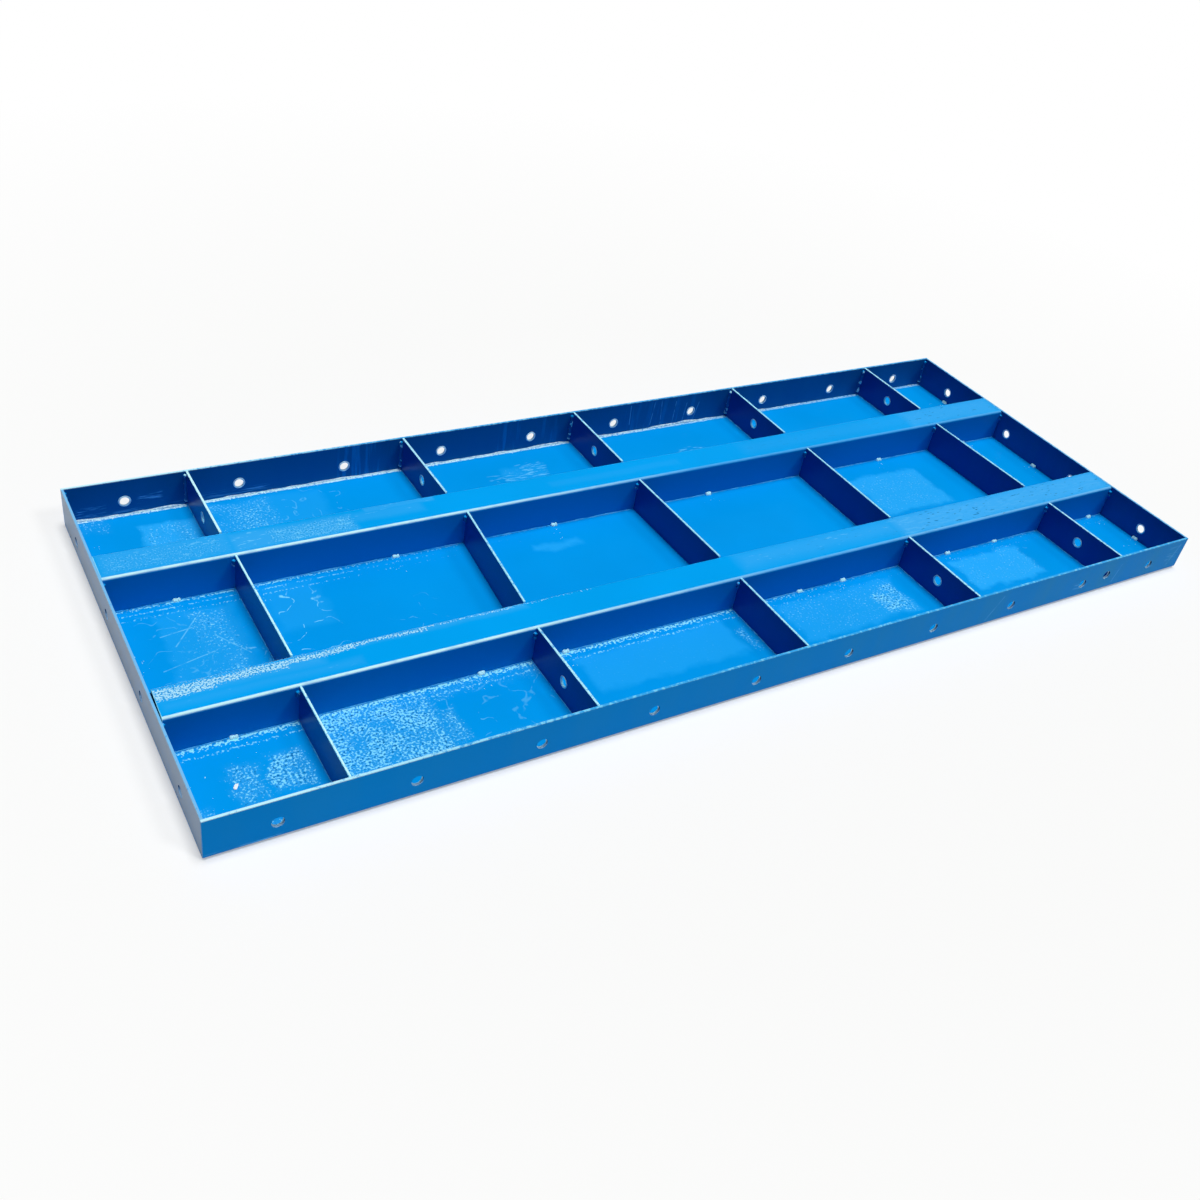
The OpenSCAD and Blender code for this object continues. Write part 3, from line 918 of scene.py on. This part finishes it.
# %% [markdown]
# ## Face pan
# The face sheet and its two flanges are one folded piece, and it shows the most finishes. Its
# copy is cut across under the middle of each long rib, where no one sees the cut, so that each
# row of floors is a face of its own and can have its own paint. The inner side of the far
# flange is the wall that shows most, and it has its own paint too, a darker painted shade.

# %% Face pan
ROW_SPLIT = 0.125
SHEET = 0.003

pan = copy_of("face_pan", "face_pan_painted", cuts=(-ROW_SPLIT, ROW_SPLIT))
pan_paints = [flange_paint, edge_paint, hole_paint, floor_near, floor_middle, floor_far,
              far_flange_paint]
for paint in pan_paints:
    pan.data.materials.append(paint)
darken_holes(pan, 1)
lip_places += [(spot, 1, -1.0 if spot.y > 0 else 1.0) for spot in holes_in(pan)]
for face in pan.data.polygons:
    if face.normal.z > 0.55 and face.center.z < 0.01:
        row = floor_middle
        if abs(face.center.y) >= ROW_SPLIT:
            row = floor_far if face.center.y > 0 else floor_near
        face.material_index = pan_paints.index(row)
    elif face.center.y > 0.29 and face.normal.y < -0.2 and face.center.z > SHEET + 0.0001:
        face.material_index = pan_paints.index(far_flange_paint)
ease(pan)
place_plate(pan, "face_pan")
print("Face pan:", len(pan.data.polygons), "faces in", len(pan.data.materials), "finishes")

# %% [markdown]
# ## Weld beads
# A weld is a row of puddles: the welder's hand pauses, a drop of steel freezes, and the next
# one overlaps it. So a bead starts as a row of squashed balls, which a voxel remesh melts into
# one skin. Three short tacks and two upright beads are modelled like this, and then cut flat
# where they lie against their plates. Chains of separate balls would show their seams.

# %% Model the beads
WELD_LEG = 0.0040
TACK_LENGTH = 0.011
UPRIGHT_LENGTH = 0.040

def model_bead(name, length, puddles, grain, seed, spread=1.0):
    """A bead along X in the corner between the planes Y = 0 and Z = 0."""
    bpy.ops.object.select_all(action="DESELECT")
    balls = []
    for number in range(puddles):
        share = (number + 0.5) / puddles
        stray = noise.noise_vector(Vector((seed * 7.3, number * 1.7, 0.5)))
        radius = WELD_LEG * (0.90 + 0.35 * stray.x)
        reach = length / puddles * 1.15 * spread
        spot = (length * spread * (share - 0.5), 0.0004 * stray.y, 0.0004 * stray.z)
        bpy.ops.mesh.primitive_uv_sphere_add(segments=16, ring_count=10, radius=1.0, location=spot,
                                             scale=(reach, radius, radius))
        balls.append(bpy.context.object)
    for ball in balls:
        ball.select_set(True)
    bpy.ops.object.join()
    bead = bpy.context.object
    bead.name = name
    bpy.ops.object.transform_apply(location=True, rotation=True, scale=True)
    melt = bead.modifiers.new("melted", "REMESH")
    melt.mode = "VOXEL"
    melt.voxel_size = grain
    soften = bead.modifiers.new("softened", "SMOOTH")
    soften.factor = 0.5
    soften.iterations = 2
    apply_modifiers(bead)
    bpy.ops.object.mode_set(mode="EDIT")
    for side in ((0.0, 1.0, 0.0), (0.0, 0.0, 1.0)):
        bpy.ops.mesh.select_all(action="SELECT")
        cut_at = [-0.0003 * part for part in side]
        bpy.ops.mesh.bisect(plane_co=cut_at, plane_no=side, use_fill=True, clear_inner=True)
    bpy.ops.object.mode_set(mode="OBJECT")
    bpy.ops.object.shade_smooth()
    print(name, "has", len(bead.data.polygons), "faces")
    return bead

tacks = [model_bead("tack_" + str(seed), TACK_LENGTH, 4, 0.0005, seed, 0.72)
         for seed in range(3)]
uprights = [model_bead("upright_bead_" + str(seed), UPRIGHT_LENGTH, 14, 0.0006, seed + 5)
            for seed in range(2)]

# %% [markdown]
# ## Corners for the beads
# Each solid of the CAD weld nodes is a small prism with three sides, which says where a bead
# goes, how long it is, and in which corner it lies. The longest side of its box is the way it
# runs. Its points lie nearer to the corner than the middle of the box does, so that tells on
# which side the corner is. The three directions make a matrix, which must not mirror the bead.

# %% Find the corners
def corners_of(node):
    """A matrix for each solid of a weld node: its corner, and the directions of its bead."""
    piece = copy_of(node, node + "_parts")
    pick(piece)
    bpy.ops.mesh.separate(type="LOOSE")
    frames = []
    for part in bpy.context.selected_objects:
        points = [vertex.co for vertex in part.data.vertices]
        lowest = Vector([min(point[axis] for point in points) for axis in range(3)])
        highest = Vector([max(point[axis] for point in points) for axis in range(3)])
        middle = sum(points, Vector()) / len(points)
        size = highest - lowest
        along = max(range(3), key=lambda axis: size[axis])
        first, second = [axis for axis in range(3) if axis != along]
        corner = (lowest + highest) / 2
        columns = [Vector(), Vector(), Vector()]
        columns[0][along] = 1.0
        for number, axis in ((1, first), (2, second)):
            outward = 1.0 if middle[axis] < corner[axis] else -1.0
            columns[number][axis] = outward
            corner[axis] = lowest[axis] if outward > 0 else highest[axis]
        if columns[0].cross(columns[1]).dot(columns[2]) < 0:
            columns[0] = -columns[0]
        frames.append((Matrix(columns).transposed(), corner, size[along]))
        bpy.data.objects.remove(part)
    frames.sort(key=lambda found: tuple(round(value, 4) for value in found[1]))
    return frames

# %% [markdown]
# ## Paint on the welds, and placing them
# A weld looks glossy. It is pale on the tacks at the foot of a plate and in dots on the
# uprights: paint thin on the crests in part, painted glints in part. Its upright faces take a
# painted shade. A copy of a model is stretched to each weld's length, and turned into its
# corner. The models take turns, so no two neighbours are alike.

# %% Weld finish
PALE_CREST_AND_GLINT = (0.52, 0.95, 1.0, 1.0)

def weld_enamel(name):
    """Glossy paint over a lumpy bead, in painted shade where it stands upright. It is pale at
    the foot and in dots: thin on its crests in part, painted glints in part.
    """
    finish = Finish(name)
    colour, peel = base_coat(finish, ENAMEL_SHADED)
    place = finish.coordinates()
    foot = finish.ramp(place[2], 0.012, 0.008)
    foot = finish.math("MULTIPLY", foot, finish.ramp(finish.noise(0.0050, 2.0, 0.5), 0.24, 0.30))
    dots = finish.ramp(finish.noise(0.0080, 1.0, 0.4), 0.59, 0.64)
    dots = finish.math("MULTIPLY", dots, finish.ramp(place[1], 0.14, 0.16, 0.30, 0.95))
    # The pale foot and dots are thin paint in part and painted glints in part.
    colour = finish.mix(finish.math("MAXIMUM", foot, dots), colour, PALE_CREST_AND_GLINT)
    lumps = finish.noise(0.0012, 2.0)
    return finish.close(colour, 0.30, finish.bump(lumps, 0.00004), 0.30, TINT)

weld_paint = weld_enamel("weld_enamel")

# %% Place the beads
SHORTEST_UPRIGHT = 0.020

foot_welds = []
for name in sorted(nodes):
    if name.endswith("_welds"):
        copies = []
        for number, (turned, corner, length) in enumerate(corners_of(name)):
            upright = length > SHORTEST_UPRIGHT
            models = uprights if upright else tacks
            bead = bpy.data.objects.new(name + "_bead", models[number % len(models)].data.copy())
            scene.collection.objects.link(bead)
            model_length = UPRIGHT_LENGTH if upright else TACK_LENGTH
            stretch = Matrix.Diagonal((length / model_length, 1.0, 1.0))
            bead.data.transform(Matrix.Translation(corner) @ (turned @ stretch).to_4x4())
            copies.append(bead)
            if corner.z < 0.004 and not upright:
                foot_welds.append((turned, corner))
        bpy.ops.object.select_all(action="DESELECT")
        for bead in copies:
            bead.select_set(True)
        bpy.context.view_layer.objects.active = copies[0]
        bpy.ops.object.join()
        joined = bpy.context.object
        joined.name = name + "_beads"
        joined.data.materials.clear()
        joined.data.materials.append(weld_paint)
        place_plate(joined, name)
        print(joined.name, "joins", len(copies), "beads")
for model in tacks + uprights:
    bpy.data.objects.remove(model)

# %% [markdown]
# ## Spatter
# Welding throws small drops of steel on to the sheet, a few of them round each tack, and they
# freeze there as low domes. One drop is modelled from a ball that is cut flat below, and each
# copy gets a size and a place from the seeded noise.

# %% Spatter
DROPS_PER_WELD = 7

bpy.ops.object.select_all(action="DESELECT")
bpy.ops.mesh.primitive_ico_sphere_add(subdivisions=2, radius=1.0)
drop_model = bpy.context.object
bpy.ops.object.mode_set(mode="EDIT")
bpy.ops.mesh.select_all(action="SELECT")
bpy.ops.mesh.bisect(plane_co=(0.0, 0.0, -0.2), plane_no=(0.0, 0.0, 1.0), use_fill=True, clear_inner=True)
bpy.ops.object.mode_set(mode="OBJECT")
drops = []
for number, (turned, corner) in enumerate(foot_welds):
    for drop in range(DROPS_PER_WELD):
        stray = noise.noise_vector(Vector((number * 3.7 + 0.3, drop * 5.1 + 0.7, 1.9)))
        away = Vector((0.045 * stray.x, 0.008 + 0.045 * abs(stray.y), 0.0))
        spot = corner + turned @ away
        spot.z = SHEET
        radius = 0.00025 + 0.0008 * abs(stray.z)
        squash = Matrix.Diagonal((radius, radius, radius * 0.8, 1.0))
        frozen = bpy.data.objects.new("drop", drop_model.data.copy())
        scene.collection.objects.link(frozen)
        frozen.data.transform(Matrix.Translation(spot) @ squash)
        drops.append(frozen)
bpy.data.objects.remove(drop_model)

def join_up(parts, name, material):
    """Joins finished parts into one piece that rides on the panel."""
    bpy.ops.object.select_all(action="DESELECT")
    for part in parts:
        part.select_set(True)
    bpy.context.view_layer.objects.active = parts[0]
    bpy.ops.object.join()
    piece = bpy.context.object
    piece.name = name
    bpy.ops.object.shade_smooth_by_angle(angle=math.radians(60))
    piece.data.materials.clear()
    piece.data.materials.append(material)
    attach(piece, "root")
    print(name, "joins", len(parts), "parts in", len(piece.data.polygons), "faces")
    return piece

spatter = join_up(drops, "weld_spatter", weld_paint)

# %% [markdown]
# ## Lips of the punched holes
# A punch drives a little metal out on its far side, and paint gathers on that lip. A ring of
# paint round each hole shows this. One thin torus is modelled, and each copy of it is flattened
# and has its points pushed about a little, so that the lip isn't machined.

# %% Model the lip
LIP_THICK = 0.0011

bpy.ops.object.select_all(action="DESELECT")
bpy.ops.mesh.primitive_torus_add(major_segments=28, minor_segments=8,
                                 major_radius=HOLE_RADIUS + 0.0003, minor_radius=LIP_THICK)
lip_model = bpy.context.object

def lip_at(spot, axis, side, number):
    """An uneven copy of the lip on one side of a plate, round the hole at a spot."""
    half_sheet = 0.0015 if axis == 1 else 0.0013
    along = Vector((1.0, 0.0, 0.0)) if axis == 0 else Vector((0.0, 1.0, 0.0))
    ring = bpy.data.objects.new("lip", lip_model.data.copy())
    scene.collection.objects.link(ring)
    for vertex in ring.data.vertices:
        stray = noise.noise(vertex.co * 260.0 + Vector((number * 3.1, 0.0, 0.0)))
        vertex.co += vertex.normal * 0.00035 * stray
        vertex.co.z *= 0.6
    turned = along.to_track_quat("Z", "Y").to_matrix().to_4x4()
    ring.data.transform(Matrix.Translation(spot + along * side * half_sheet) @ turned)
    return ring

# %% Place the lips
# The lips take a pale tone, rubbed in part and a painted highlight in part.
lip_paint = edge_enamel("punched_lip_enamel", 0.45, 1.0, BRIGHT)
lips = [lip_at(*place, number) for number, place in enumerate(lip_places)]
bpy.data.objects.remove(lip_model)
hole_lips = join_up(lips, "hole_lips", lip_paint)

# %% [markdown]
# ## A flake of dried cement
# One crumb of cement still lies in the left cell of the near row. It is a thin plate with a
# ragged outline: a circle, extruded and inset, with its points moved by noise. It is matt and
# nearly white, so it stands out from the glossy paint.

# %% A flake of dried cement
CEMENT_GREY = (0.72, 0.80, 0.84, 1.0)
CEMENT_PALE = (0.86, 0.96, 1.0, 1.0)
FLAKE_AT = (-0.693, -0.221, 0.0029)
FLAKE_SIZE = (0.0042, 0.0020, 0.0009)

cement = Finish("dried_cement")
speckle = cement.noise(0.0015, 3.0, 0.6)
cement_colour = cement.mix(speckle, CEMENT_GREY, CEMENT_PALE)
cement_paint = cement.close(cement_colour, 0.8, cement.bump(speckle, 0.0003), 0.3)

def flake(at, size, turn, seed):
    """A thin ragged flake that lies on a floor."""
    bpy.ops.object.select_all(action="DESELECT")
    bpy.ops.mesh.primitive_circle_add(vertices=14, radius=1.0, fill_type="NGON")
    made = bpy.context.object
    bpy.ops.object.mode_set(mode="EDIT")
    bpy.ops.mesh.select_all(action="SELECT")
    bpy.ops.mesh.extrude_region_move(TRANSFORM_OT_translate={"value": (0.0, 0.0, 1.0)})
    bpy.ops.mesh.inset(thickness=0.3, depth=0.2)
    bpy.ops.mesh.select_all(action="SELECT")
    bpy.ops.mesh.normals_make_consistent(inside=False)
    bpy.ops.object.mode_set(mode="OBJECT")
    for vertex in made.data.vertices:
        stray = noise.noise_vector(vertex.co * 1.3 + Vector((seed, 0.0, 0.0)))
        vertex.co += Vector((0.35 * stray.x, 0.35 * stray.y, 0.0))
    spin = Matrix.Rotation(math.radians(turn), 4, "Z")
    grown = Matrix.Diagonal((size[0], size[1], size[2], 1.0))
    made.data.transform(Matrix.Translation(at) @ spin @ grown)
    return made

flakes = [flake(FLAKE_AT, FLAKE_SIZE, 55, 1.0)]
cement_flakes = join_up(flakes, "cement_flakes", cement_paint)

# %% [markdown]
# ## Pooled paint
# Wet paint gathers along the foot of each rib and dries as a thin lumpy thread, which catches
# the light. A thread is a long cylinder, subdivided along its length only, and its points move
# in and out with noise. Ribs that stand askew are left out, because a straight thread would
# cross them.

# %% Pooled paint
def pooled_line(start, end, thick, seed, step=0.004, closeness=90.0, rough=0.8):
    """A lumpy thread of paint along a foot, from one point to another."""
    way = Vector(end) - Vector(start)
    steps = max(4, int(way.length / step))
    bpy.ops.object.select_all(action="DESELECT")
    bpy.ops.mesh.primitive_cylinder_add(vertices=10, radius=thick, depth=way.length,
                                        end_fill_type="NGON",
                                        location=(Vector(start) + Vector(end)) / 2,
                                        rotation=way.to_track_quat("Z", "Y").to_euler())
    thread = bpy.context.object
    bpy.ops.object.mode_set(mode="EDIT")
    bpy.ops.mesh.select_mode(type="EDGE")
    bpy.ops.mesh.select_all(action="DESELECT")
    bpy.ops.object.mode_set(mode="OBJECT")
    for edge in thread.data.edges:
        first, second = [thread.data.vertices[index].co for index in edge.vertices]
        edge.select = abs(first.z - second.z) > way.length / 2
    bpy.ops.object.mode_set(mode="EDIT")
    bpy.ops.mesh.subdivide(number_cuts=steps)
    bpy.ops.mesh.select_mode(type="VERT")
    bpy.ops.object.mode_set(mode="OBJECT")
    bpy.ops.object.transform_apply(location=True, rotation=True, scale=True)
    for vertex in thread.data.vertices:
        spot = vertex.co * closeness + Vector((seed, 0.0, 0.0))
        vertex.co += vertex.normal * thick * rough * noise.noise(spot)
    return thread

# %% Threads along the ribs
WIDEST_STRAIGHT = 0.0032

threads = []
for name in plates:
    if "rib" in name:
        lowest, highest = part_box(name)
        if "long_rib" in name:
            for edge_y in (lowest.y, highest.y):
                start = (lowest.x, edge_y, SHEET)
                end = (highest.x, edge_y, SHEET)
                threads.append(pooled_line(start, end, 0.0011, edge_y * 9))
        elif highest.x - lowest.x <= WIDEST_STRAIGHT:
            for edge_x in (lowest.x, highest.x):
                start = (edge_x, lowest.y, SHEET)
                end = (edge_x, highest.y, SHEET)
                threads.append(pooled_line(start, end, 0.0009, edge_x))
pooled_enamel = edge_enamel("pooled_enamel", 0.0, 0.25, specular=0.06)
pooled = join_up(threads, "pooled_paint", pooled_enamel)

# %% [markdown]
# ## Ridge of dried drips
# Paint ran down the inside of the far flange and dried along its foot as a rough ridge, pale
# with dried crust in part and with a painted highlight in part. It is one more pooled thread,
# thicker and rougher. It swells where a drip ended in it, and thins out to the right. Its points
# are kept from coming through the sheet and the flange behind it.

# %% Ridge of dried drips
SEAM_Y = high.y - SHEET
BURIED = 0.0012
DRIP_ENDS = (-0.62, -0.41, -0.33, -0.22, -0.09, 0.02, 0.109, 0.147, 0.167, 0.190, 0.211, 0.233)
RIDGE_PALE = (0.76, 0.99, 1.0, 1.0)

ridge = pooled_line((low.x + SHEET, SEAM_Y, SHEET), (high.x - SHEET, SEAM_Y, SHEET), 0.0015, 4.7,
                    step=0.0025, closeness=190.0, rough=1.5)
for vertex in ridge.data.vertices:
    swell = sum(1.3 * math.exp(-((vertex.co.x - end) / 0.0036) ** 2) for end in DRIP_ENDS)
    thinned = 1.0 - 0.5 * min(1.0, max(0.0, (vertex.co.x - 0.25) / 0.30))
    across = SEAM_Y + (vertex.co.y - SEAM_Y) * (1.0 + swell) * thinned
    height = SHEET + (vertex.co.z - SHEET) * (1.0 + swell) * thinned
    vertex.co.y = min(across, SEAM_Y + BURIED)
    vertex.co.z = max(height, SHEET - BURIED)
# The ridge's pale tone is dried crust in part and a painted highlight in part.
ridge_paint = edge_enamel("seam_enamel", 0.20, 1.0, RIDGE_PALE, size=0.0050, specular=0.1)
ridge = join_up([ridge], "far_seam_ridge", ridge_paint)
